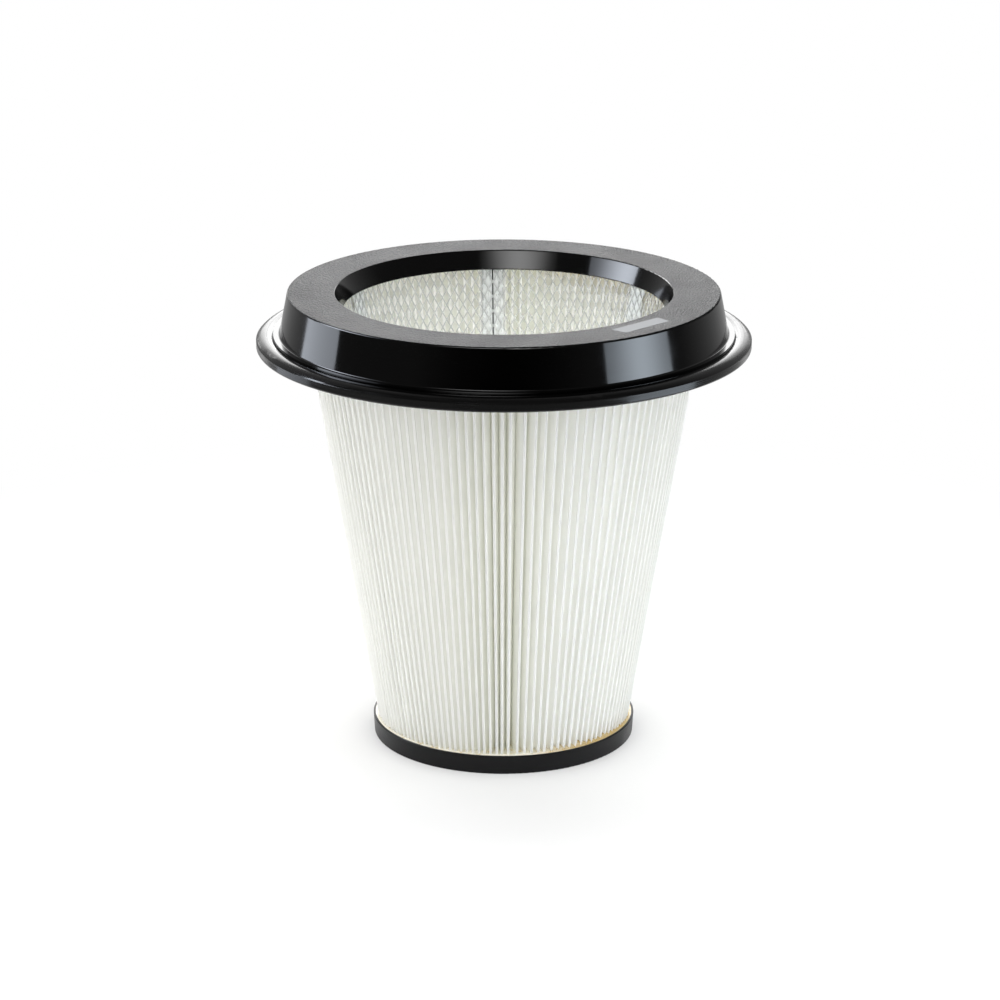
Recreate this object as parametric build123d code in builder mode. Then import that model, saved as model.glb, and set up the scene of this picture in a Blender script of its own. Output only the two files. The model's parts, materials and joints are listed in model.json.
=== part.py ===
from build123d import *
import math
import os

# Conical pre-filter: a pleated sheet on an expanded metal cone, glued into a closed cap and a flanged ring.
# Millimetres. It stands on its cap at z = 0, centred on the Z axis, with the sheet's seam at the front (-Y).

# Top ring, one black moulding
height = 340.0
top_edge_radius = 158.0
top_plate = 2.5
outer_wall = 2.5
outer_wall_height = 30.0
outer_wall_flare = 6.0
funnel_depth = 14.0
funnel_flare = 6.5
funnel_wall = 1.6

# Flange around the ring's foot: a flat ledge, a rolled bead and a turned-down outer band
flange_reach = 17.0
flange_height = 10.3
flange_plate = 4.5
ledge_width = 4.5
bead_step = 1.9
bead_rise = 1.2
bead_crest_in = 4.7
bead_fall = 1.7
parting_step = 0.8
band_wall = 3.0

# Rounded edges of the ring
top_edge_round = 1.5
mouth_edge_round = 1.2
lip_edge_round = 0.6
foot_round = 1.2
band_edge_round = 1.4

# Bottom cap, a closed dish with an inner collar that keeps the adhesive under the sheet
cap_height = 14.2
cap_floor_radius = 97.2
cap_flare = 0.8
cap_wall = 1.6
cap_floor = 2.0
cap_edge_round = 1.0
cap_rim_round = 0.6
collar_to_mesh = 3.2

# Pleated sheet: its outer folds lie on a cone that keeps clear of the cap's rim and of the ring's wall,
# and the steps between folds tighten from one side of the seam to the other
pleat_count = 124
pleat_depth = 25.5
sheet_thickness = 0.7
fold_to_cap = 1.14
fold_to_wall = 9.9
seam_angle = -85.8
seam_opening = 4.1
seam_slit = 0.3
step_spread = 0.16

# Adhesive beds: the lower one just below the cap's rim, the upper one at the top of the ring's channel
glue_below_cap_rim = 0.2
top_glue_depth = 9.5

# Expanded metal cone and the flat strips between it and the sheet
mesh_thickness = 0.8
mesh_columns = 30
mesh_rows = 4
mesh_strand = 5.0
mesh_border = 10.0
mesh_gap_cut = 12.0
mesh_to_funnel = 0.1
strip_count = 6
strip_first_angle = 94.1
strip_width = 16.0
strip_thickness = 0.6
strip_room = 1.4
strip_clearance = 0.1
slit_width = 1.1
slit_end = 12.0

# Levels and radii that follow from the sizes above
ledge_level = height - outer_wall_height
flange_bottom = ledge_level - flange_height
flange_underside = ledge_level - flange_plate
plate_underside = height - top_plate
lip_level = height - funnel_depth
glue_top_level = plate_underside - top_glue_depth
glue_bottom_level = cap_height - glue_below_cap_rim
outer_wall_foot_radius = top_edge_radius + outer_wall_flare
flange_radius = outer_wall_foot_radius + flange_reach
cap_rim_radius = cap_floor_radius + cap_flare
wall_draft = outer_wall_flare / outer_wall_height
funnel_draft = funnel_flare / funnel_depth
cap_draft = cap_flare / cap_height


def wall_inside(z):
    """Radius of the outer wall's inner face."""
    return top_edge_radius + wall_draft * (height - z) - outer_wall


def cap_inside(z):
    """Radius of the cap wall's inner face."""
    return cap_floor_radius + cap_draft * z - cap_wall


fold_radius_low = cap_inside(glue_bottom_level) - fold_to_cap
fold_radius_high = wall_inside(glue_top_level) - fold_to_wall
fold_taper = (fold_radius_high - fold_radius_low) / (glue_top_level - glue_bottom_level)


def outer_fold(z):
    """Radius of the sheet's outer folds."""
    return fold_radius_low + fold_taper * (z - glue_bottom_level)


def inner_fold(z):
    """Radius of the sheet's inner folds."""
    return outer_fold(z) - pleat_depth


def mesh_outside(z):
    """Radius of the metal cone's outer face."""
    return inner_fold(z) - strip_room


def mesh_inside(z):
    """Radius of the metal cone's inner face at the middle of its flat panels."""
    return (mesh_outside(z) - mesh_thickness) * math.cos(math.pi / mesh_columns)


# The funnel and the collar stand just inside the metal cone
funnel_top_back = mesh_inside(glue_top_level) - mesh_to_funnel + funnel_draft * (height - glue_top_level)
mouth_radius = funnel_top_back - funnel_wall
funnel_lip_radius = mouth_radius - funnel_flare
collar_radius = mesh_inside(glue_bottom_level) - collar_to_mesh


def funnel_back(z):
    """Radius of the funnel's hidden face."""
    return funnel_top_back - funnel_draft * (height - z)


def around(radius, angle, aside=0.0):
    """Point at a radius and an angle in degrees, moved aside along the tangent."""
    turn = math.radians(angle)
    x = radius * math.cos(turn) - aside * math.sin(turn)
    y = radius * math.sin(turn) + aside * math.cos(turn)
    return (x, y)


def facing_out(angle, z):
    """Plane on the metal cone's outer face that looks straight out from the axis, its Y axis upright."""
    outward = around(1.0, angle) + (0.0,)
    sideways = around(1.0, angle + 90.0) + (0.0,)
    return Plane(origin=around(mesh_outside(z), angle) + (z,), x_dir=sideways, z_dir=outward)


def upright_plane(angle):
    """Plane through the axis at an angle, its X axis pointing straight out and its Y axis up."""
    outward = around(1.0, angle) + (0.0,)
    return Plane(origin=(0.0, 0.0, 0.0), x_dir=outward, z_dir=around(1.0, angle - 90.0) + (0.0,))


def circle_at(part, radius, level):
    """The circular edges of a turned part at a radius and a level."""
    circles = part.edges().filter_by(GeomType.CIRCLE)
    return circles.filter_by(lambda edge: abs(edge.radius - radius) + abs(edge.center().Z - level) < 0.01)


# Angles of the outer folds, and of the inner folds halfway between them
last_step = pleat_count - 2
step_weights = [1.0 + step_spread * (0.5 - i / last_step) for i in range(pleat_count - 1)]
degrees_per_weight = (360.0 - seam_opening) / sum(step_weights)
tip_angles = [seam_angle + seam_opening / 2.0]
for weight in step_weights:
    tip_angles.append(tip_angles[-1] + weight * degrees_per_weight)
root_angles = [(here + there) / 2.0 for here, there in zip(tip_angles, tip_angles[1:])]


def sheet_outline(z):
    """Corners of the sheet at a level: along its outer face from the seam, and back along its inner face."""
    tip_radius = outer_fold(z)
    root_radius = inner_fold(z)
    face = [around(root_radius + sheet_thickness, seam_angle, seam_slit / 2.0)]
    back = [around(root_radius, seam_angle, seam_slit / 2.0)]
    for tip, root in zip(tip_angles, root_angles + [None]):
        face.append(around(tip_radius, tip, -sheet_thickness))
        face.append(around(tip_radius, tip, sheet_thickness))
        back.append(around(tip_radius - sheet_thickness, tip))
        if root is not None:
            face.append(around(root_radius + sheet_thickness, root))
            back.append(around(root_radius, root, -sheet_thickness))
            back.append(around(root_radius, root, sheet_thickness))
    face.append(around(root_radius + sheet_thickness, seam_angle, -seam_slit / 2.0))
    back.append(around(root_radius, seam_angle, -seam_slit / 2.0))
    return face + back[::-1]


os.makedirs("parts", exist_ok=True)

# Top ring: one turned profile, then the moulded edges are rounded
bead_start = outer_wall_foot_radius + ledge_width
bead_end = flange_radius - parting_step
bead_foot = ledge_level - bead_step
bead_crest = (bead_start + bead_crest_in, bead_foot + bead_rise)
with BuildPart() as top_ring:
    with BuildSketch(Plane.XZ):
        with BuildLine():
            top = Polyline(
                (funnel_lip_radius, lip_level),
                (mouth_radius, height),
                (top_edge_radius, height),
                (outer_wall_foot_radius, ledge_level),
                (bead_start, ledge_level),
                (bead_start, bead_foot),
            )
            bead = ThreePointArc(top @ 1, bead_crest, (bead_end, bead_foot - bead_fall))
            under = Polyline(
                bead @ 1,
                (flange_radius, bead_foot - bead_fall - parting_step),
                (flange_radius, flange_bottom),
                (flange_radius - band_wall, flange_bottom),
                (flange_radius - band_wall, flange_underside),
                (wall_inside(flange_underside), flange_underside),
                (wall_inside(plate_underside), plate_underside),
                (funnel_back(plate_underside), plate_underside),
                (funnel_back(lip_level), lip_level),
                top @ 0,
            )
        make_face()
    revolve(axis=Axis.Z)
    fillet(circle_at(top_ring.part, top_edge_radius, height), top_edge_round)
    fillet(circle_at(top_ring.part, mouth_radius, height), mouth_edge_round)
    fillet(circle_at(top_ring.part, funnel_lip_radius, lip_level), lip_edge_round)
    fillet(circle_at(top_ring.part, outer_wall_foot_radius, ledge_level), foot_round)
    fillet(circle_at(top_ring.part, flange_radius, flange_bottom), band_edge_round)
top_ring.part.label = "top_ring"
export_step(top_ring.part, "parts/top_ring.step")

# Bottom cap: a drafted dish, closed underneath, with a collar inside
with BuildPart() as bottom_cap:
    with BuildSketch(Plane.XZ):
        with BuildLine():
            Polyline(
                (0.0, 0.0),
                (cap_floor_radius, 0.0),
                (cap_rim_radius, cap_height),
                (cap_rim_radius - cap_wall, cap_height),
                (cap_inside(cap_floor), cap_floor),
                (collar_radius, cap_floor),
                (collar_radius, glue_bottom_level),
                (collar_radius - cap_wall, glue_bottom_level),
                (collar_radius - cap_wall, cap_floor),
                (0.0, cap_floor),
                close=True,
            )
        make_face()
    revolve(axis=Axis.Z)
    fillet(circle_at(bottom_cap.part, cap_floor_radius, 0.0), cap_edge_round)
    fillet(circle_at(bottom_cap.part, cap_rim_radius, cap_height), cap_rim_round)
bottom_cap.part.label = "bottom_cap"
export_step(bottom_cap.part, "parts/bottom_cap.step")

# Pleated sheet: its zigzag section drawn at both ends and joined by straight folds
with BuildPart() as pleated_media:
    for level in (glue_bottom_level, glue_top_level):
        with BuildSketch(Plane.XY.offset(level)):
            with BuildLine():
                Polyline(*sheet_outline(level), close=True)
            make_face()
    loft(ruled=True)
pleated_media.part.label = "pleated_media"
export_step(pleated_media.part, "parts/pleated_media.step")

# Adhesive beds in the cap and in the ring's channel, which the sheet, the metal cone and the strips end on
with BuildPart() as bottom_potting:
    with BuildSketch(Plane.XZ):
        with BuildLine():
            Polyline(
                (collar_radius, cap_floor),
                (cap_inside(cap_floor), cap_floor),
                (cap_inside(glue_bottom_level), glue_bottom_level),
                (collar_radius, glue_bottom_level),
                close=True,
            )
        make_face()
    revolve(axis=Axis.Z)
bottom_potting.part.label = "bottom_potting"
export_step(bottom_potting.part, "parts/bottom_potting.step")

with BuildPart() as top_potting:
    with BuildSketch(Plane.XZ):
        with BuildLine():
            Polyline(
                (funnel_back(glue_top_level), glue_top_level),
                (wall_inside(glue_top_level), glue_top_level),
                (wall_inside(plate_underside), plate_underside),
                (funnel_back(plate_underside), plate_underside),
                close=True,
            )
        make_face()
    revolve(axis=Axis.Z)
top_potting.part.label = "top_potting"
export_step(top_potting.part, "parts/top_potting.step")

# Expanded metal cone: staggered columns of diamond gaps in one conical wall
mesh_length = glue_top_level - glue_bottom_level
row_pitch = (mesh_length - 2.0 * mesh_border) / mesh_rows
gap_planes = []
for column in range(mesh_columns):
    shifted = column % 2
    for row in range(mesh_rows - shifted):
        level = glue_bottom_level + mesh_border + (row + 0.5 * (1 + shifted)) * row_pitch
        angle = 360.0 * column / mesh_columns
        gap_planes.append(facing_out(angle, level))
with BuildPart() as support_mesh:
    for level in (glue_bottom_level, glue_top_level):
        with BuildSketch(Plane.XY.offset(level)):
            RegularPolygon(mesh_outside(level), mesh_columns)
    loft(ruled=True)
    for level in (glue_bottom_level, glue_top_level):
        with BuildSketch(Plane.XY.offset(level)):
            RegularPolygon(mesh_outside(level) - mesh_thickness, mesh_columns)
    loft(ruled=True, mode=Mode.SUBTRACT)
    for plane in gap_planes:
        pitch = 4.0 * math.pi * mesh_outside(plane.origin.Z) / mesh_columns
        half_wide = pitch / 2.0 - mesh_strand
        half_tall = row_pitch / 2.0 - mesh_strand
        with BuildSketch(plane):
            with BuildLine():
                Polyline((half_wide, 0.0), (0.0, half_tall), (-half_wide, 0.0), (0.0, -half_tall), close=True)
            make_face()
    extrude(amount=mesh_gap_cut, both=True, mode=Mode.SUBTRACT)
support_mesh.part.label = "support_mesh"
export_step(support_mesh.part, "parts/support_mesh.step")

# Galvanised strips on the outside of the metal cone, the one at the back slit down its length
strip_angles = [strip_first_angle + 360.0 * i / strip_count for i in range(strip_count)]
strip_names = ["seam_strip"] + [f"support_strip_{i}" for i in range(1, strip_count)]
strip_middle = (glue_bottom_level + glue_top_level) / 2.0
for name, angle in zip(strip_names, strip_angles):
    with BuildPart() as strip:
        with BuildSketch(upright_plane(angle)):
            with BuildLine():
                Polyline(
                    (mesh_outside(glue_bottom_level) + strip_clearance, glue_bottom_level),
                    (mesh_outside(glue_top_level) + strip_clearance, glue_top_level),
                    (mesh_outside(glue_top_level) + strip_clearance + strip_thickness, glue_top_level),
                    (mesh_outside(glue_bottom_level) + strip_clearance + strip_thickness, glue_bottom_level),
                    close=True,
                )
            make_face()
        extrude(amount=strip_width / 2.0, both=True)
        if name == "seam_strip":
            with BuildSketch(facing_out(angle, strip_middle)):
                Rectangle(slit_width, mesh_length - 2.0 * slit_end)
            extrude(amount=pleat_depth + mesh_length * fold_taper, both=True, mode=Mode.SUBTRACT)
    strip.part.label = name
    export_step(strip.part, f"parts/{name}.step")
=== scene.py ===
# %% [markdown]
# A conical pre-filter: a deep pleated sheet on an expanded metal cone, glued into a black cap below
# and a black flanged ring above. The turned solids come from CAD and stay as they are. Blender adds what
# a CAD solid is too coarse for: the soft folds of the sheet, the fine metal mesh, the beads of adhesive,
# and a finish for every surface. The CAD model is loaded first, because every piece is placed in its frame.

# %% Load the fixed frame
import json
import math
import bpy
import numpy as np
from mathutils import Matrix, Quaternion, Vector

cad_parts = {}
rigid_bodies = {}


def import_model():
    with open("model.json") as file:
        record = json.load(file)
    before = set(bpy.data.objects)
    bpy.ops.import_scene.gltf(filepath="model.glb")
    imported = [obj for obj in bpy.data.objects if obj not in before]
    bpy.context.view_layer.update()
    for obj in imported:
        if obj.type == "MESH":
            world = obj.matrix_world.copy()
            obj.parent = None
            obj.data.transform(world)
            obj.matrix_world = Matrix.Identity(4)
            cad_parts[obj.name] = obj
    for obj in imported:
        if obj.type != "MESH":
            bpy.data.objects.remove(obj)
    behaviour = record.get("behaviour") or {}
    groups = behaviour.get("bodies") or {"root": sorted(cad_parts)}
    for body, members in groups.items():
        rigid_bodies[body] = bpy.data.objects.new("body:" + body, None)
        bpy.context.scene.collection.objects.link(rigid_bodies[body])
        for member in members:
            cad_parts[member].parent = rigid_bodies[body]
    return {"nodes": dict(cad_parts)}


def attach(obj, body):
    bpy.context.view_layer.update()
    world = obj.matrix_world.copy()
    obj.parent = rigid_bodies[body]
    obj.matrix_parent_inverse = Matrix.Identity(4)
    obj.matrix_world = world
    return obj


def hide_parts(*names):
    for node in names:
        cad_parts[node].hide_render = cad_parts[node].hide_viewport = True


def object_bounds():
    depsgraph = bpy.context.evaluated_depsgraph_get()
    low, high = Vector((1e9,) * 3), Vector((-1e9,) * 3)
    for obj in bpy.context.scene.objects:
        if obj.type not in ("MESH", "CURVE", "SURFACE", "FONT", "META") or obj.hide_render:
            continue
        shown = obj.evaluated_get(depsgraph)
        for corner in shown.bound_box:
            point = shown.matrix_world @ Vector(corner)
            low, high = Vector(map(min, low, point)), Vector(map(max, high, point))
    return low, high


for leftover in list(bpy.data.objects):
    bpy.data.objects.remove(leftover)
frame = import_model()
cad_low, cad_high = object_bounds()
scene = bpy.context.scene
scene.view_settings.view_transform = "Standard"
print("CAD nodes:", sorted(frame["nodes"]))
print("CAD box:", [round(v, 4) for v in cad_low], [round(v, 4) for v in cad_high])

# %% [markdown]
# The filter was photographed with a long lens from a little above the ring, so its ellipses are shallow and
# its sides hardly converge. The camera could be placed by eye, but a long lens shows a small error at once.
# Instead its distance, height and tilt were worked out from the widths and heights of the ring's circles.

# %% Camera
camera_place = Vector((-0.0028, -2.613, 1.012))
camera_tilt_down = math.radians(17.67)
camera_roll = math.radians(0.05)
camera_data = bpy.data.cameras.new("studio_camera")
camera_data.sensor_width = 36.0
camera_data.lens = 133.1
camera = bpy.data.objects.new("studio_camera", camera_data)
scene.collection.objects.link(camera)
looking = Vector((0.0, math.cos(camera_tilt_down), -math.sin(camera_tilt_down)))
camera.rotation_mode = "QUATERNION"
camera.rotation_quaternion = looking.to_track_quat("-Z", "Y") @ Quaternion((0.0, 0.0, 1.0), camera_roll)
camera.location = camera_place
scene.camera = camera
print("camera at", tuple(round(v, 3) for v in camera_place), "lens", camera_data.lens, "mm")

# %% [markdown]
# The filter stands on a plain pale table that ends a little in front of it and further away behind it. A lit
# white surface alone turns grey away from the lamps, so the camera and mirror-like surfaces see it partly
# as even white. The other part is ordinary matt white, which keeps the soft shadow under the cap. That
# part fades out with the distance from the filter, so the table's far edge melts into the background.

# %% Floor
floor_side = 0.85
floor_front = 0.62
floor_back = 0.95
floor_even_white = 0.29
shadow_reach, shadow_end = 0.35, 0.75
floor_white = 0.80
corners = [(-floor_side, -floor_front, 0.0), (floor_side, -floor_front, 0.0),
           (floor_side, floor_back, 0.0), (-floor_side, floor_back, 0.0)]
floor_mesh = bpy.data.meshes.new("studio_floor")
floor_mesh.from_pydata(corners, [], [(0, 1, 2, 3)])
floor = bpy.data.objects.new("studio_floor", floor_mesh)
scene.collection.objects.link(floor)


def seen_directly(nodes, links):
    """A value that is one for rays that show the background: camera, glossy and transmission rays."""
    path = nodes.new("ShaderNodeLightPath")
    either = nodes.new("ShaderNodeMath")
    either.operation = "MAXIMUM"
    links.new(path.outputs["Is Camera Ray"], either.inputs[0])
    links.new(path.outputs["Is Glossy Ray"], either.inputs[1])
    every = nodes.new("ShaderNodeMath")
    every.operation = "MAXIMUM"
    links.new(either.outputs[0], every.inputs[0])
    links.new(path.outputs["Is Transmission Ray"], every.inputs[1])
    return every.outputs[0]


pale_floor = bpy.data.materials.new("pale_floor")
pale_floor.use_nodes = True
nodes, links = pale_floor.node_tree.nodes, pale_floor.node_tree.links
nodes.remove(nodes["Principled BSDF"])
matt = nodes.new("ShaderNodeBsdfDiffuse")
matt.inputs["Color"].default_value = (floor_white, floor_white, floor_white, 1.0)
even = nodes.new("ShaderNodeEmission")
even.inputs["Strength"].default_value = 1.0
spot = nodes.new("ShaderNodeTexCoord")
away = nodes.new("ShaderNodeVectorMath")
away.operation = "LENGTH"
links.new(spot.outputs["Object"], away.inputs[0])
fade = nodes.new("ShaderNodeMapRange")
fade.interpolation_type = "SMOOTHSTEP"
fade.inputs["From Min"].default_value = shadow_reach
fade.inputs["From Max"].default_value = shadow_end
fade.inputs["To Min"].default_value = floor_even_white
fade.inputs["To Max"].default_value = 1.0
links.new(away.outputs["Value"], fade.inputs["Value"])
share = nodes.new("ShaderNodeMath")
share.operation = "MULTIPLY"
links.new(fade.outputs[0], share.inputs[1])
links.new(seen_directly(nodes, links), share.inputs[0])
blend = nodes.new("ShaderNodeMixShader")
links.new(share.outputs[0], blend.inputs["Fac"])
links.new(matt.outputs[0], blend.inputs[1])
links.new(even.outputs[0], blend.inputs[2])
links.new(blend.outputs[0], nodes["Material Output"].inputs["Surface"])
floor.data.materials.append(pale_floor)
print("floor", 2 * floor_side, "by", floor_front + floor_back, "m")

# %% [markdown]
# Glossy black plastic shows the room rather than a colour of its own. The photograph's room is white behind
# the filter and dark around the camera. One even white world would fill the black wall with grey, so
# the world goes by direction for mirrored rays. Matt surfaces get an even soft light from all round,
# and the camera itself always sees plain white.

# %% World
dim_room = 0.09
pale_side = 0.45
pale_ground = 0.3
soft_light = 0.65
world = bpy.data.worlds.new("studio_room")
scene.world = world
world.use_nodes = True
nodes, links = world.node_tree.nodes, world.node_tree.links
nodes.clear()
direction = nodes.new("ShaderNodeTexCoord")
axes = nodes.new("ShaderNodeSeparateXYZ")
links.new(direction.outputs["Generated"], axes.inputs[0])
room = nodes.new("ShaderNodeMapRange")
room.inputs["From Min"].default_value = 0.0
room.inputs["From Max"].default_value = 1.0
room.inputs["To Min"].default_value = 0.0
room.inputs["To Max"].default_value = pale_side
links.new(axes.outputs["Y"], room.inputs["Value"])
dim = nodes.new("ShaderNodeMapRange")
dim.inputs["From Min"].default_value = -1.0
dim.inputs["From Max"].default_value = -0.7
dim.inputs["To Max"].default_value = dim_room
links.new(axes.outputs["Y"], dim.inputs["Value"])
walls = nodes.new("ShaderNodeMath")
walls.operation = "MAXIMUM"
links.new(room.outputs[0], walls.inputs[0])
links.new(dim.outputs[0], walls.inputs[1])
ground = nodes.new("ShaderNodeMapRange")
ground.inputs["From Min"].default_value = -0.24
ground.inputs["From Max"].default_value = -0.30
ground.inputs["To Max"].default_value = pale_ground
links.new(axes.outputs["Z"], ground.inputs["Value"])
whole_room = nodes.new("ShaderNodeMath")
links.new(walls.outputs[0], whole_room.inputs[0])
links.new(ground.outputs[0], whole_room.inputs[1])
path = nodes.new("ShaderNodeLightPath")
for_matt = nodes.new("ShaderNodeMath")
for_matt.operation = "MULTIPLY_ADD"
for_matt.inputs[1].default_value = soft_light
links.new(path.outputs["Is Diffuse Ray"], for_matt.inputs[0])
links.new(whole_room.outputs[0], for_matt.inputs[2])
room_light = nodes.new("ShaderNodeBackground")
room_light.inputs["Color"].default_value = (1.0, 1.0, 1.0, 1.0)
links.new(for_matt.outputs[0], room_light.inputs["Strength"])
plain_white = nodes.new("ShaderNodeBackground")
plain_white.inputs["Color"].default_value = (1.0, 1.0, 1.0, 1.0)
plain_white.inputs["Strength"].default_value = 1.0
straight = nodes.new("ShaderNodeMath")
straight.operation = "MAXIMUM"
links.new(path.outputs["Is Camera Ray"], straight.inputs[0])
links.new(path.outputs["Is Transmission Ray"], straight.inputs[1])
choose = nodes.new("ShaderNodeMixShader")
links.new(straight.outputs[0], choose.inputs["Fac"])
links.new(room_light.outputs[0], choose.inputs[1])
links.new(plain_white.outputs[0], choose.inputs[2])
output = nodes.new("ShaderNodeOutputWorld")
links.new(choose.outputs[0], output.inputs["Surface"])
print("room from", dim_room, "to", pale_side)

# %% [markdown]
# The bright bands on the ring's wall are reflections of the lamps. A round wall turns a reflection by twice the
# wall's own angle, so the edges of each band give the lamp's bearing and width. One set of soft area lamps stands
# there and serves only the glossy surfaces. Most of them fade across their width, as a softbox does away from
# its bulb. A second set serves only the matt surfaces, so that the pleats can be lit without a change to the
# bands: one at each side, one overhead, one above the camera, and a small one inside the cone for the
# light that a bright room sends through the mouth. Light that falls between white pleats bounces many times
# before it comes out again, so more bounces are allowed than usual.

# %% Lamps
lamp_target = Vector((0.0, 0.0, 0.2))


def graded(lamp_data, edge_share, peak):
    """Lets a lamp's face fade across its width, from a peak to a share of that brightness at the edge."""
    lamp_data.use_nodes = True
    nodes, links = lamp_data.node_tree.nodes, lamp_data.node_tree.links
    face = nodes.new("ShaderNodeNewGeometry")
    across = nodes.new("ShaderNodeSeparateXYZ")
    links.new(face.outputs["Parametric"], across.inputs[0])
    off_middle = nodes.new("ShaderNodeMath")
    off_middle.operation = "SUBTRACT"
    off_middle.inputs[1].default_value = peak
    links.new(across.outputs["X"], off_middle.inputs[0])
    either_side = nodes.new("ShaderNodeMath")
    either_side.operation = "ABSOLUTE"
    links.new(off_middle.outputs[0], either_side.inputs[0])
    fade = nodes.new("ShaderNodeMapRange")
    fade.interpolation_type = "SMOOTHSTEP"
    fade.inputs["From Max"].default_value = max(peak, 1.0 - peak)
    fade.inputs["To Min"].default_value = 1.0
    fade.inputs["To Max"].default_value = edge_share
    links.new(either_side.outputs[0], fade.inputs["Value"])
    links.new(fade.outputs[0], nodes["Emission"].inputs["Strength"])


def softbox(name, bearing, climb, distance, wide, tall, level, colour, serves="all", edge_share=1.0, peak=0.5):
    """An area lamp at a bearing from the front and a climb, in degrees, whose face has a given brightness."""
    lamp_data = bpy.data.lights.new(name, "AREA")
    lamp_data.shape = "RECTANGLE"
    lamp_data.size = wide
    lamp_data.size_y = tall
    lamp_data.color = colour
    lamp_data.energy = level * math.pi * wide * tall
    if edge_share < 1.0:
        graded(lamp_data, edge_share, peak)
    lamp = bpy.data.objects.new(name, lamp_data)
    turn, rise = math.radians(bearing), math.radians(climb)
    away = Vector((math.sin(turn) * math.cos(rise), -math.cos(turn) * math.cos(rise), math.sin(rise)))
    lamp.location = lamp_target + distance * away
    lamp.rotation_mode = "QUATERNION"
    lamp.rotation_quaternion = (-away).to_track_quat("-Z", "Y")
    lamp.visible_diffuse = serves != "gloss"
    lamp.visible_glossy = serves != "matt"
    scene.collection.objects.link(lamp)
    print(name, "energy", round(lamp_data.energy, 1))


lamp_blue = (0.80, 0.90, 1.0)
pale_blue = (0.84, 0.90, 1.0)
plain_light = (1.0, 1.0, 1.0)
softbox("left_lamp", -104.5, 2.0, 1.9, 0.96, 0.5, 3.9, pale_blue, "gloss")
softbox("left_lamp_low", -111.0, -15.0, 1.9, 0.9, 0.65, 1.3, pale_blue, "gloss")
softbox("left_lamp_high", -92.0, 29.0, 1.9, 1.27, 0.9, 11.5, pale_blue, "gloss", 0.2, 0.3)
softbox("right_lamp", 70.0, 2.0, 1.9, 1.34, 0.5, 8.2, lamp_blue, "gloss", 0.42)
softbox("right_lamp_low", 75.0, -15.0, 1.9, 1.27, 0.65, 3.0, lamp_blue, "gloss")
softbox("back_lamp", 180.0, 19.0, 2.4, 2.4, 1.1, 4.1, plain_light, "gloss", 0.15)
softbox("front_lamp", -12.0, 40.0, 2.4, 2.1, 0.9, 5.0, plain_light, "gloss", 0.04)
softbox("left_light", -66.0, 13.0, 1.9, 1.4, 1.1, 1.25, plain_light, "matt")
softbox("right_light", 75.0, 6.0, 1.9, 1.5, 0.9, 2.6, lamp_blue, "matt")
softbox("top_light", -173.0, 68.0, 1.9, 2.2, 1.5, 3.6, plain_light, "matt")
softbox("fill_light", 6.0, 62.0, 2.2, 1.4, 1.0, 4.0, plain_light, "matt")
softbox("mouth_light", 0.0, -90.0, 0.06, 0.07, 0.07, 27.0, plain_light, "matt")
scene.cycles.diffuse_bounces = 24
scene.cycles.max_bounces = 28

# %% [markdown]
# Each finish is a set of nodes on one shader. The same few steps come back in every finish: a place on
# the object, a noise of a given grain, and a change of range. They get short helpers here, so that a finish
# below reads as a list of what the material shows.

# %% Helpers for the finishes


def new_finish(name, colour, rough, metal=0.0):
    """A material with its own shader, and the tools that its nodes are built with."""
    finish = bpy.data.materials.new(name)
    finish.use_nodes = True
    shader = finish.node_tree.nodes["Principled BSDF"]
    shader.inputs["Base Color"].default_value = (*colour, 1.0)
    shader.inputs["Roughness"].default_value = rough
    shader.inputs["Metallic"].default_value = metal
    return finish, finish.node_tree.nodes, finish.node_tree.links, shader


def place_on_object(nodes):
    return nodes.new("ShaderNodeTexCoord").outputs["Object"]


def stretched(nodes, links, vector, scale):
    mapping = nodes.new("ShaderNodeMapping")
    mapping.inputs["Scale"].default_value = scale
    links.new(vector, mapping.inputs["Vector"])
    return mapping.outputs[0]


def grain(nodes, links, vector, per_metre, detail=2.0):
    noise = nodes.new("ShaderNodeTexNoise")
    noise.inputs["Scale"].default_value = per_metre
    noise.inputs["Detail"].default_value = detail
    links.new(vector, noise.inputs["Vector"])
    return noise.outputs["Fac"]


def ranged(nodes, links, value, from_low, from_high, to_low, to_high):
    change = nodes.new("ShaderNodeMapRange")
    change.interpolation_type = "SMOOTHSTEP"
    change.inputs["From Min"].default_value = from_low
    change.inputs["From Max"].default_value = from_high
    change.inputs["To Min"].default_value = to_low
    change.inputs["To Max"].default_value = to_high
    links.new(value, change.inputs["Value"])
    return change.outputs[0]


def calculated(nodes, links, operation, first, second):
    step = nodes.new("ShaderNodeMath")
    step.operation = operation
    for socket, value in zip(step.inputs, (first, second)):
        if isinstance(value, (int, float)):
            socket.default_value = value
        else:
            links.new(value, socket)
    return step.outputs[0]


def two_colours(nodes, links, amount, first, second):
    mix = nodes.new("ShaderNodeMix")
    mix.data_type = "RGBA"
    links.new(amount, mix.inputs["Factor"])
    mix.inputs["A"].default_value = (*first, 1.0)
    mix.inputs["B"].default_value = (*second, 1.0)
    return mix.outputs["Result"]


def raised(nodes, links, height, depth, shader, under=None):
    bump = nodes.new("ShaderNodeBump")
    bump.inputs["Strength"].default_value = 1.0
    bump.inputs["Distance"].default_value = depth
    links.new(height, bump.inputs["Height"])
    if under is not None:
        links.new(under, bump.inputs["Normal"])
    links.new(bump.outputs[0], shader.inputs["Normal"])
    return bump.outputs[0]


def distance_from_axis(nodes, links, vector):
    flat = nodes.new("ShaderNodeVectorMath")
    flat.operation = "MULTIPLY"
    flat.inputs[1].default_value = (1.0, 1.0, 0.0)
    links.new(vector, flat.inputs[0])
    length = nodes.new("ShaderNodeVectorMath")
    length.operation = "LENGTH"
    links.new(flat.outputs[0], length.inputs[0])
    return length.outputs["Value"]


print("finish helpers ready")

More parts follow.
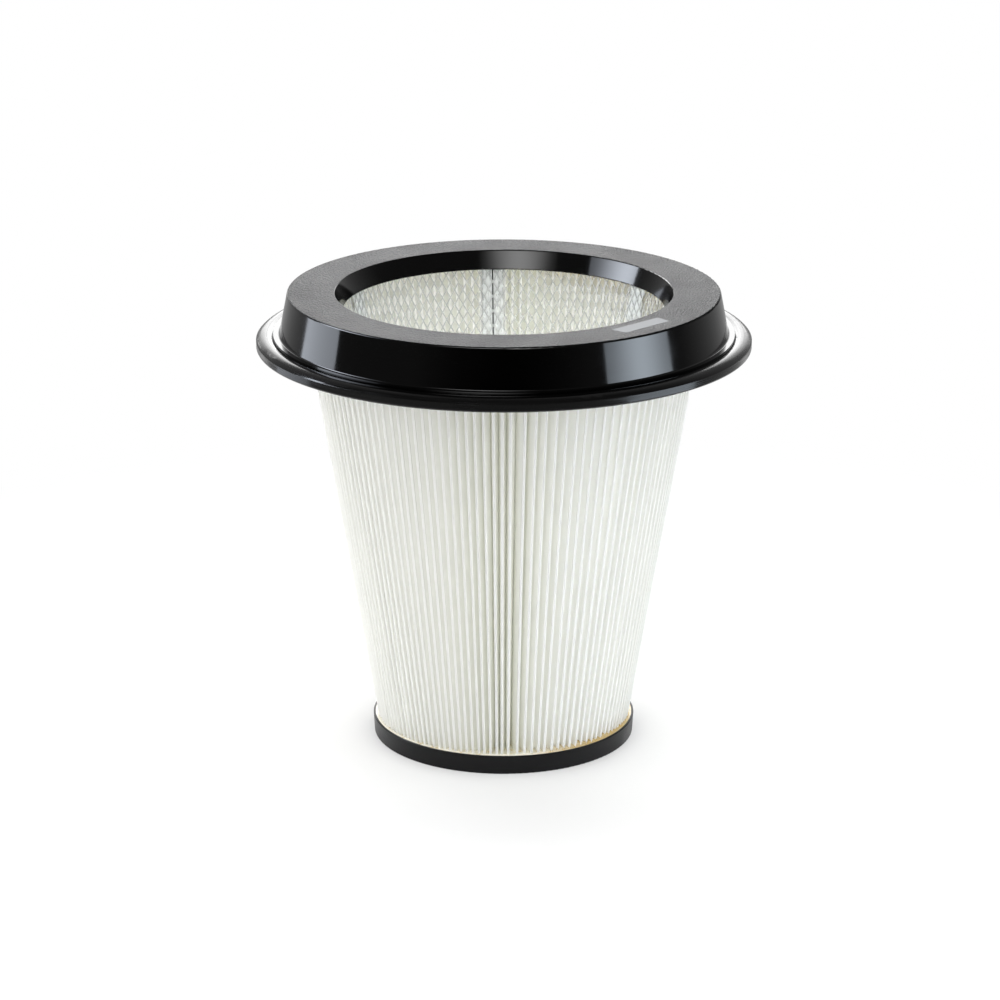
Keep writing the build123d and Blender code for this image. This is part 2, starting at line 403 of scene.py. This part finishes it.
# %% [markdown]
# The ring is one injection moulding in black plastic. Its mould was polished for the walls, and left with a fine
# spark-eroded grain on the top face, which scatters the white room and looks grey. One material covers
# both: the height on the object tells which part of the mould a point came from. The top face's lighter
# base colour is painted light for that scattered room light; only its fine speckle is the grain.

# %% Finish of the ring
ring_top = cad_high.z
matt_edge = 0.0001
bead_inside = 0.1690
ring_finish, nodes, links, shader = new_finish("ring_black_plastic", (0.003, 0.003, 0.003), 0.1)
spot = place_on_object(nodes)
split = nodes.new("ShaderNodeSeparateXYZ")
links.new(spot, split.inputs[0])
on_top = ranged(nodes, links, split.outputs["Z"], ring_top - 2 * matt_edge, ring_top - matt_edge, 0.0, 1.0)
radius = distance_from_axis(nodes, links, spot)
on_bead = ranged(nodes, links, radius, bead_inside, bead_inside + 0.0008, 0.0, 1.0)
fine = grain(nodes, links, spot, 620.0, 2.0)
cloud = grain(nodes, links, spot, 26.0, 3.0)
streak_place = nodes.new("ShaderNodeCombineXYZ")
links.new(calculated(nodes, links, "MULTIPLY", radius, 1.0), streak_place.inputs["X"])
links.new(calculated(nodes, links, "MULTIPLY", split.outputs["X"], 0.02), streak_place.inputs["Y"])
links.new(split.outputs["Z"], streak_place.inputs["Z"])
streaks = grain(nodes, links, streak_place.outputs[0], 1500.0, 2.0)
gloss = ranged(nodes, links, cloud, 0.35, 0.75, 0.07, 0.13)
drawn = ranged(nodes, links, streaks, 0.42, 0.62, 0.02, 0.16)
gloss_bead = calculated(nodes, links, "ADD", gloss, calculated(nodes, links, "MULTIPLY", on_bead, drawn))
top_rough = calculated(nodes, links, "MULTIPLY", on_top, 0.42)
links.new(calculated(nodes, links, "ADD", gloss_bead, top_rough), shader.inputs["Roughness"])
# Painted light: the top face's base colour is lifted to grey for the room light its grain scatters; the speckle on it
# is grain.
top_shade = ranged(nodes, links, fine, 0.3, 0.7, 0.45, 1.55)
grain_and_painted_grey = calculated(nodes, links, "MULTIPLY", on_top, top_shade)
links.new(two_colours(nodes, links, grain_and_painted_grey, (0.0006, 0.0006, 0.0006), (0.041, 0.041, 0.042)),
          shader.inputs["Base Color"])
dots = grain(nodes, links, spot, 420.0, 2.0)
bead_relief = calculated(nodes, links, "MULTIPLY", on_bead,
                         calculated(nodes, links, "ADD", calculated(nodes, links, "MULTIPLY", streaks, 0.6),
                                    calculated(nodes, links, "MULTIPLY", dots, 0.3)))
lower = raised(nodes, links, bead_relief, 0.000012, shader)
raised(nodes, links, grain_and_painted_grey, 0.0007, shader, lower)
frame["nodes"]["top_ring"].material_slots[0].material = ring_finish
print("ring finish on", frame["nodes"]["top_ring"].name)

# %% [markdown]
# The cap is a shallow vacuum-formed dish in a satin black. Forming leaves faint streaks round its rim, and
# handling leaves it a little cloudy, so its roughness varies slowly. It needs no matt zone.

# %% Finish of the cap
cap_finish, nodes, links, shader = new_finish("cap_black_plastic", (0.010, 0.010, 0.011), 0.36)
spot = place_on_object(nodes)
cloud = grain(nodes, links, spot, 35.0, 4.0)
fine = grain(nodes, links, stretched(nodes, links, spot, (1.0, 1.0, 6.0)), 700.0, 2.0)
links.new(ranged(nodes, links, cloud, 0.3, 0.7, 0.30, 0.40), shader.inputs["Roughness"])
links.new(two_colours(nodes, links, cloud, (0.002, 0.002, 0.0025), (0.004, 0.004, 0.0045)),
          shader.inputs["Base Color"])
shader.inputs["Specular IOR Level"].default_value = 0.2
raised(nodes, links, fine, 0.00004, shader)
frame["nodes"]["bottom_cap"].material_slots[0].material = cap_finish
print("cap finish on", frame["nodes"]["bottom_cap"].name)

# %% [markdown]
# Pieces that Blender adds are built from lists of points and faces. A helper turns such lists into an object,
# gives it a finish in a material slot, and lets it ride on the filter's only body.

# %% Helper for new pieces
millimetre = 0.001
sharp_edge = 50.0


def add_piece(name, points, faces, finish, smooth=True):
    """A mesh piece from points in millimetres, riding on the filter's body."""
    mesh = bpy.data.meshes.new(name)
    mesh.from_pydata([tuple(p) for p in np.asarray(points) * millimetre], [], faces)
    mesh.validate()
    mesh.update()
    mesh.polygons.foreach_set("use_smooth", [smooth] * len(mesh.polygons))
    if smooth:
        mesh.set_sharp_from_angle(angle=math.radians(sharp_edge))
    piece = bpy.data.objects.new(name, mesh)
    scene.collection.objects.link(piece)
    mesh.materials.append(finish)
    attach(piece, "root")
    triangles = sum(len(f) - 2 for f in faces)
    print(name, len(points), "points", triangles, "triangles")
    return piece


# %% [markdown]
# The sheet is one length of felted polyester, scored and folded into 124 pleats, bent into a cone and
# closed at the front. A zigzag with sharp corners would look like card, because felt folds in a small round.
# So each fold here is an arc, each flank bulges a little, and the same section is drawn at several levels.
# Small seeded differences between folds keep the pleats from looking machined.

# %% Folds of the sheet
sheet_low, sheet_high = 13.2, 328.6
fold_low_level, fold_high_level = 14.0, 328.0
fold_radius_low, fold_radius_high = 95.25, 148.0
pleat_count = 124
pleat_depth = 25.5
sheet_thickness = 0.7
fold_round = 0.55
seam_angle, seam_opening = -85.8, 4.1
seam_slit = 0.06
step_spread = 0.16
sheet_levels = 11
fold_taper = (fold_radius_high - fold_radius_low) / (fold_high_level - fold_low_level)


def outer_fold(z):
    return fold_radius_low + fold_taper * (z - fold_low_level)


steps = 1.0 + step_spread * (0.5 - np.arange(pleat_count - 1) / (pleat_count - 2))
steps *= (360.0 - seam_opening) / steps.sum()
tip_angles = seam_angle + seam_opening / 2.0 + np.concatenate([[0.0], np.cumsum(steps)])
root_angles = (tip_angles[1:] + tip_angles[:-1]) / 2.0
print("folds", len(tip_angles), "steps from", round(steps[0], 2), "to", round(steps[-1], 2), "degrees")

# %% The pleated sheet
folding = np.random.default_rng(41)
tip_shift = folding.normal(0.0, 0.10, pleat_count)
tip_lean = folding.normal(0.0, 0.10, pleat_count)
tip_reach = -np.abs(folding.normal(0.0, 0.25, pleat_count))
flank_bulge = folding.normal(0.25, 0.12, 2 * pleat_count)


def at(radius, angle):
    turn = np.radians(angle)
    return np.array([radius * np.cos(turn), radius * np.sin(turn)])


def turned_left(v):
    return np.array([-v[1], v[0]])


def sheet_line(z):
    """Middle line of the folded sheet at a level, and the direction out of its face, from seam to seam."""
    climb = (z - sheet_low) / (sheet_high - sheet_low) - 0.5
    tip_r = outer_fold(z) - sheet_thickness / 2.0 - fold_round
    root_r = outer_fold(z) - pleat_depth + sheet_thickness / 2.0 + fold_round
    stops = []
    for i in range(pleat_count):
        stops.append((at(tip_r + tip_reach[i], tip_angles[i] + tip_shift[i] + 2.0 * climb * tip_lean[i]), 1))
        if i < pleat_count - 1:
            stops.append((at(root_r, root_angles[i]), -1))
    line, out = [], []
    beside_seam = turned_left(at(1.0, seam_angle)) * (sheet_thickness + seam_slit) / 2.0
    start = at(root_r, seam_angle) + beside_seam
    finish = at(root_r, seam_angle) - beside_seam
    leave = None
    for number, (centre, side) in enumerate(stops):
        before = stops[number - 1][0] if number else start
        after = stops[number + 1][0] if number < len(stops) - 1 else finish
        arrive = tangent(before, centre, side, number > 0)
        depart = tangent(after, centre, side, number < len(stops) - 1, True)
        if leave is None:
            leave = start
        bow = flank_bulge[number % len(flank_bulge)]
        along = arrive - leave
        normal = np.array([along[1], -along[0]]) / np.linalg.norm(along)
        for share in (0.0, 0.3, 0.7) if number else (0.0, 0.5):
            bulge = bow * 4.0 * share * (1.0 - share)
            line.append(leave + along * share + normal * bulge)
            out.append(normal)
        first = math.atan2(*(arrive - centre)[::-1])
        last = math.atan2(*(depart - centre)[::-1])
        sweep = (last - first) % (2.0 * math.pi) if side > 0 else -((first - last) % (2.0 * math.pi))
        bends = 6 if side > 0 else 4
        for k in range(bends):
            turn = first + sweep * k / bends
            ray = np.array([math.cos(turn), math.sin(turn)])
            line.append(centre + fold_round * ray)
            out.append(ray * side)
        leave = depart
    along = finish - leave
    normal = np.array([along[1], -along[0]]) / np.linalg.norm(along)
    for share in (0.0, 0.5, 1.0):
        line.append(leave + along * share)
        out.append(normal)
    return np.array(line), np.array(out)


def tangent(other, centre, side, crossing, leaving=False):
    """Point on the fold's arc where the flank from or to a neighbouring fold touches it."""
    gap = other - centre
    span = np.linalg.norm(gap)
    reach = 2.0 * fold_round if crossing else fold_round
    lean = math.acos(min(1.0, reach / span))
    heading = math.atan2(gap[1], gap[0])
    turn = heading + lean * side * (1.0 if leaving else -1.0)
    return centre + fold_round * np.array([math.cos(turn), math.sin(turn)])


sheet_points = []
level_heights = np.linspace(sheet_low, sheet_high, sheet_levels)
for z in level_heights:
    middle, out = sheet_line(z)
    for side in (0.5, -0.5):
        face = middle + out * sheet_thickness * side
        sheet_points.append(np.column_stack([face, np.full(len(face), z)]))
section = len(middle)
sheet_faces = []
for level in range(sheet_levels - 1):
    for layer in (0, 1):
        low = (2 * level + layer) * section
        high = low + 2 * section
        for k in range(section - 1):
            quad = (low + k, low + k + 1, high + k + 1, high + k)
            sheet_faces.append(quad if layer == 0 else quad[::-1])
    for k in (0, section - 1):
        a, b = 2 * level * section + k, (2 * level + 1) * section + k
        quad = (a, a + 2 * section, b + 2 * section, b)
        sheet_faces.append(quad if k == 0 else quad[::-1])
for level in (0, sheet_levels - 1):
    a, b = 2 * level * section, (2 * level + 1) * section
    for k in range(section - 1):
        quad = (a + k, b + k, b + k + 1, a + k + 1)
        sheet_faces.append(quad if level == 0 else quad[::-1])
sheet_points = np.concatenate(sheet_points)
print("section", section, "points", len(sheet_points), "faces", len(sheet_faces))

# %% [markdown]
# The felt is a warm off-white with short fibres in every direction. It is matt, so nearly all of its look
# comes from its colour and from light that bounces between the flanks. A faint cloudiness and a fine relief
# stand for the fibres.

# %% Finish of the sheet
felt_finish, nodes, links, shader = new_finish("cream_felt", (0.84, 0.84, 0.76), 0.9)
spot = place_on_object(nodes)
cloud = grain(nodes, links, spot, 60.0, 3.0)
fibres = grain(nodes, links, stretched(nodes, links, spot, (1.0, 1.0, 0.45)), 1600.0, 3.0)
links.new(two_colours(nodes, links, cloud, (0.945, 0.947, 0.918), (0.960, 0.962, 0.938)), shader.inputs["Base Color"])
shader.inputs["Subsurface Weight"].default_value = 1.0
shader.inputs["Subsurface Radius"].default_value = (1.0, 1.0, 1.0)
shader.inputs["Subsurface Scale"].default_value = 0.0002
links.new(ranged(nodes, links, fibres, 0.3, 0.7, 0.82, 0.98), shader.inputs["Roughness"])
shader.inputs["Specular IOR Level"].default_value = 0.2
shader.inputs["Sheen Weight"].default_value = 0.04
raised(nodes, links, fibres, 0.00007, shader)
pleated_sheet = add_piece("pleated_sheet", sheet_points, sheet_faces, felt_finish)
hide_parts("pleated_media")

# %% [markdown]
# Expanded metal starts as a flat sheet that is slit in staggered rows and pulled open into diamonds. Here it is
# rolled into a cone, so the rows stand upright at the back and lean more and more towards the sides.
# The diamonds are laid out on the flat sheet and each point is then rolled onto the cone,
# which gives that lean by itself. The pulled strands twist, so each gap's upper edge is pushed out
# and its lower edge in.

# %% Expanded metal
diamond_wide, diamond_tall = 6.6, 11.2
strand_wide = 0.75
metal_thick = 0.5
strand_twist = 0.12
mesh_middle_angle = 94.1
mesh_low, mesh_high = 13.4, 328.4
mesh_gap = 27.3
cone_angle = math.atan(fold_taper)
cone_sine = math.sin(cone_angle)
cone_cosine = math.cos(cone_angle)
half_round = math.pi - 0.002


def cone_radius(z):
    return outer_fold(z) - mesh_gap


def rolled(across, along, outwards):
    """Rolls a point of the flat sheet, seen from the cone's tip, onto the cone."""
    reach = math.hypot(across, along)
    reach = min(max(reach, cone_radius(mesh_low) / cone_sine), cone_radius(mesh_high) / cone_sine)
    swing = math.atan2(across, along) / cone_sine
    swing = min(max(swing, -half_round), half_round)
    turn = math.radians(mesh_middle_angle) + swing
    radius = reach * cone_sine
    z = mesh_low + (radius - cone_radius(mesh_low)) / fold_taper
    return ((radius + outwards * cone_cosine) * math.cos(turn),
            (radius + outwards * cone_cosine) * math.sin(turn), z - outwards * cone_sine)


half_wide, half_tall = diamond_wide / 2.0, diamond_tall / 2.0
edge_distance = half_wide * half_tall / math.hypot(half_wide, half_tall)
gap_share = 1.0 - strand_wide / 2.0 / edge_distance
low_reach = cone_radius(mesh_low) / cone_sine
high_reach = cone_radius(mesh_high) / cone_sine
widest = high_reach * math.sin(min(math.pi * cone_sine, math.pi / 2.0))
mesh_points, mesh_faces, knots, strand_sides = [], [], {}, {}


def knot(column, level):
    """Both faces of a node where strands meet, made once."""
    if (column, level) not in knots:
        knots[column, level] = len(mesh_points)
        for outwards in (metal_thick / 2.0, -metal_thick / 2.0):
            mesh_points.append(rolled(column * half_wide, level * half_tall, outwards))
    return knots[column, level]


columns = int(widest / half_wide) + 1
lowest = int(low_reach * math.cos(math.pi * cone_sine) / half_tall) - 1
highest = int(high_reach / half_tall) + 1
for column in range(-columns, columns + 1):
    for level in range(lowest, highest + 1):
        if (column + level) % 2 == 0:
            continue
        across, along = column * half_wide, level * half_tall
        reach, swing = math.hypot(across, along), math.atan2(across, along)
        if not low_reach < reach < high_reach or abs(swing) > math.pi * cone_sine:
            continue
        around_gap = [(1, 0), (0, 1), (-1, 0), (0, -1)]
        outer = [knot(column + dx, level + dy) for dx, dy in around_gap]
        inner = len(mesh_points)
        for dx, dy in around_gap:
            for outwards in (metal_thick / 2.0, -metal_thick / 2.0):
                mesh_points.append(rolled(across + gap_share * dx * half_wide, along + gap_share * dy * half_tall,
                                          outwards + strand_twist * dy))
        for k in range(4):
            n = (k + 1) % 4
            a, b, c, d = outer[k], outer[n], inner + 2 * n, inner + 2 * k
            mesh_faces.append((a, b, c, d))
            mesh_faces.append((d + 1, c + 1, b + 1, a + 1))
            mesh_faces.append((d, c, c + 1, d + 1))
            strand_sides.setdefault((min(a, b), max(a, b)), []).append((a, b))
diamonds = len(mesh_faces) // 12
border = [sides[0] for sides in strand_sides.values() if len(sides) == 1]
for a, b in border:
    mesh_faces.append((b, a, a + 1, b + 1))
print("diamonds", diamonds, "points", len(mesh_points), "border strands", len(border))

# %% [markdown]
# The metal is galvanised: a thin zinc coat, dull grey with small brighter patches. The strips behind it are
# the same steel but rolled smooth, so they mirror the mesh in front of them.

# %% Finish of the metal
zinc_finish, nodes, links, shader = new_finish("zinc_mesh", (0.62, 0.63, 0.63), 0.38, 0.6)
spot = place_on_object(nodes)
patches = grain(nodes, links, spot, 180.0, 2.0)
links.new(two_colours(nodes, links, patches, (0.54, 0.55, 0.55), (0.68, 0.69, 0.69)), shader.inputs["Base Color"])
links.new(ranged(nodes, links, patches, 0.3, 0.7, 0.30, 0.48), shader.inputs["Roughness"])
expanded_metal = add_piece("expanded_metal", mesh_points, mesh_faces, zinc_finish, smooth=False)
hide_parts("support_mesh")

strip_finish, nodes, links, shader = new_finish("zinc_strip", (0.72, 0.75, 0.77), 0.3, 0.45)
spot = place_on_object(nodes)
rolling = grain(nodes, links, stretched(nodes, links, spot, (1.0, 1.0, 0.04)), 900.0, 3.0)
spangle = nodes.new("ShaderNodeTexVoronoi")
spangle.inputs["Scale"].default_value = 140.0
links.new(spot, spangle.inputs["Vector"])
seam_turn = math.radians(mesh_middle_angle)
off_slit = nodes.new("ShaderNodeVectorMath")
off_slit.operation = "DOT_PRODUCT"
off_slit.inputs[1].default_value = (-math.sin(seam_turn), math.cos(seam_turn), 0.0)
links.new(spot, off_slit.inputs[0])
beside_slit = calculated(nodes, links, "ABSOLUTE", off_slit.outputs["Value"], 0.0)
split = nodes.new("ShaderNodeSeparateXYZ")
links.new(spot, split.inputs[0])
at_back = ranged(nodes, links, split.outputs["Y"], 0.0, 0.01, 0.0, 1.0)
# Painted shade: a near-black line down the back strip, along its slit, stands for the shade in the slit and carries it
# on where the cut slit stops short.
painted_slit_shade_line = calculated(nodes, links, "MULTIPLY", at_back, ranged(nodes, links, beside_slit, 0.0005, 0.0006, 1.0, 0.0))
bare_zinc = two_colours(nodes, links, spangle.outputs["Distance"], (0.76, 0.79, 0.79), (0.86, 0.88, 0.87))
with_painted_slit_shade = nodes.new("ShaderNodeMix")
with_painted_slit_shade.data_type = "RGBA"
links.new(painted_slit_shade_line, with_painted_slit_shade.inputs["Factor"])
links.new(bare_zinc, with_painted_slit_shade.inputs["A"])
with_painted_slit_shade.inputs["B"].default_value = (0.02, 0.022, 0.024, 1.0)
links.new(with_painted_slit_shade.outputs["Result"], shader.inputs["Base Color"])
links.new(ranged(nodes, links, rolling, 0.3, 0.7, 0.24, 0.40), shader.inputs["Roughness"])
strip_names = sorted(name for name in frame["nodes"] if "strip" in name)
for name in strip_names:
    frame["nodes"][name].material_slots[0].material = strip_finish
print("strip finish on", strip_names)

# %% [markdown]
# The strip at the back is slit down its length, and the slit looks black from above, because it lies in shade.
# A thin dark band behind it is painted shade: without it the white sheet would shine through. It is a flat
# band that follows the strip's slope, just clear of the sheet's folds.

# %% Painted shade behind the slit
shade_sheet_low, shade_sheet_high = 26.0, 316.0
shade_sheet_half_wide = 0.9
shade_sheet_inset, shade_sheet_thick = 26.12, 0.2
shade_sheet_turn = math.radians(mesh_middle_angle)
shade_sheet_out = np.array([math.cos(shade_sheet_turn), math.sin(shade_sheet_turn)])
shade_sheet_points = []
for z in (shade_sheet_low, shade_sheet_high):
    for depth in (shade_sheet_inset, shade_sheet_inset - shade_sheet_thick):
        for side in (-shade_sheet_half_wide, shade_sheet_half_wide):
            shade_sheet_points.append((*((outer_fold(z) - depth) * shade_sheet_out + side * turned_left(shade_sheet_out)), z))
shade_sheet_faces = [(0, 1, 3, 2), (4, 6, 7, 5), (0, 4, 5, 1), (2, 3, 7, 6), (0, 2, 6, 4), (1, 5, 7, 3)]
# Painted shade: the band's near-black colour stands for the shade inside the slit in front of it.
shade_sheet_finish, nodes, links, shader = new_finish("painted_shade_behind_slit", (0.02, 0.022, 0.024), 0.6)
shade_sheet_noise = grain(nodes, links, place_on_object(nodes), 1200.0, 2.0)
links.new(two_colours(nodes, links, shade_sheet_noise, (0.012, 0.013, 0.015), (0.03, 0.032, 0.034)), shader.inputs["Base Color"])
slit_shade_sheet = add_piece("slit_shade_sheet", shade_sheet_points, shade_sheet_faces, shade_sheet_finish, smooth=False)

# %% [markdown]
# The sheet stands in a bed of amber resin that was poured into the cap. While still liquid it crept up
# between the pleats, more on the right than on the left. Each creep is a small wedge that fills the bottom of
# one groove, with a top that slopes up towards the flank it wetted.

# %% Adhesive between the pleats
creep_seed = np.random.default_rng(7)
creep_points, creep_faces = [], []
bed_level = 13.6
creep_inset = 0.9


def creep_height(angle):
    """How far the resin climbs at an angle: much at the front right, little elsewhere."""
    bearing = (angle + 90.0 + 180.0) % 360.0 - 180.0
    right = math.exp(-((bearing - 42.0) / 26.0) ** 2)
    return 0.25 + 3.6 * right


for i, root in enumerate(root_angles):
    left_tip, right_tip = tip_angles[i], tip_angles[i + 1]
    climb = creep_height(root) * creep_seed.uniform(0.45, 1.25)
    lean = creep_seed.uniform(0.15, 0.9)
    outer = outer_fold(bed_level) - creep_inset
    inside = outer - 0.62 * pleat_depth
    spread = creep_seed.uniform(0.80, 0.95)
    footprint = []
    for radius, narrow in ((outer, spread), (inside, spread * 0.36)):
        for share in (-1.0, -0.35, 0.35, 1.0):
            footprint.append((radius, root + share * narrow * (right_tip - left_tip) / 2.0, share))
    first = len(creep_points)
    for radius, angle, share in footprint:
        creep_points.append((*at(radius, angle), bed_level))
    for radius, angle, share in footprint:
        wetted = 0.25 + 0.75 * (share * 0.5 * (2.0 * lean - 1.0) + 0.5) ** 1.5 + 0.15 * share * share
        creep_points.append((*at(radius, angle), bed_level + 0.5 + climb * wetted))
    top = first + 8
    for k in range(3):
        creep_faces.append((top + k, top + k + 1, top + 5 + k, top + 4 + k)[::-1])
        creep_faces.append((first + k, first + k + 1, first + 5 + k, first + 4 + k))
        creep_faces.append((first + k, top + k, top + k + 1, first + k + 1)[::-1])
        creep_faces.append((first + 4 + k, top + 4 + k, top + 5 + k, first + 5 + k))
    creep_faces.append((first, first + 4, top + 4, top)[::-1])
    creep_faces.append((first + 3, first + 7, top + 7, top + 3))

# %% Finish of the adhesive
resin_finish, nodes, links, shader = new_finish("amber_resin", (0.62, 0.40, 0.13), 0.18)
spot = place_on_object(nodes)
cloud = grain(nodes, links, spot, 220.0, 3.0)
split = nodes.new("ShaderNodeSeparateXYZ")
links.new(spot, split.inputs[0])
run_to_the_right = ranged(nodes, links, split.outputs["X"], 0.01, 0.065, 0.0, 0.8)
specks = ranged(nodes, links, cloud, 0.56, 0.70, 0.0, 0.8)
thickness = calculated(nodes, links, "ADD", run_to_the_right, specks)
links.new(two_colours(nodes, links, thickness, (0.90, 0.87, 0.77), (0.55, 0.39, 0.13)), shader.inputs["Base Color"])
links.new(ranged(nodes, links, cloud, 0.3, 0.7, 0.12, 0.3), shader.inputs["Roughness"])
resin_creeps = add_piece("resin_creeps", creep_points, creep_faces, resin_finish)
for name in ("bottom_potting", "top_potting"):
    frame["nodes"][name].material_slots[0].material = resin_finish

# %% [markdown]
# A small pale sticker lies on the ring's top face, at the front right. It is left bare. It could be a flat
# patch in the ring's material, but a real sticker has a thickness and an edge that catches light,
# so it is a thin slab that just sinks into the face.

# %% Bare sticker
sticker_corners = [(75.3, -110.2), (108.8, -77.2), (116.8, -86.8), (84.7, -118.8)]
sticker_thick = 0.12
ring_top_mm = ring_top / millimetre
sticker_points = [(x, y, ring_top_mm - sticker_thick / 2.0) for x, y in sticker_corners]
sticker_points += [(x, y, ring_top_mm + sticker_thick / 2.0) for x, y in sticker_corners]
sticker_faces = [(4, 5, 6, 7), (3, 2, 1, 0), (0, 1, 5, 4), (1, 2, 6, 5), (2, 3, 7, 6), (3, 0, 4, 7)]
paper_finish, nodes, links, shader = new_finish("pale_sticker", (0.62, 0.66, 0.72), 0.45)
spot = place_on_object(nodes)
fibres = grain(nodes, links, spot, 900.0, 3.0)
links.new(two_colours(nodes, links, fibres, (0.075, 0.083, 0.094), (0.105, 0.113, 0.124)), shader.inputs["Base Color"])
bare_sticker = add_piece("bare_sticker", sticker_points, sticker_faces, paper_finish, smooth=False)

# %% [markdown]
# The last cell brings the scene's placements up to date.

# %% Update the scene
bpy.context.view_layer.update()
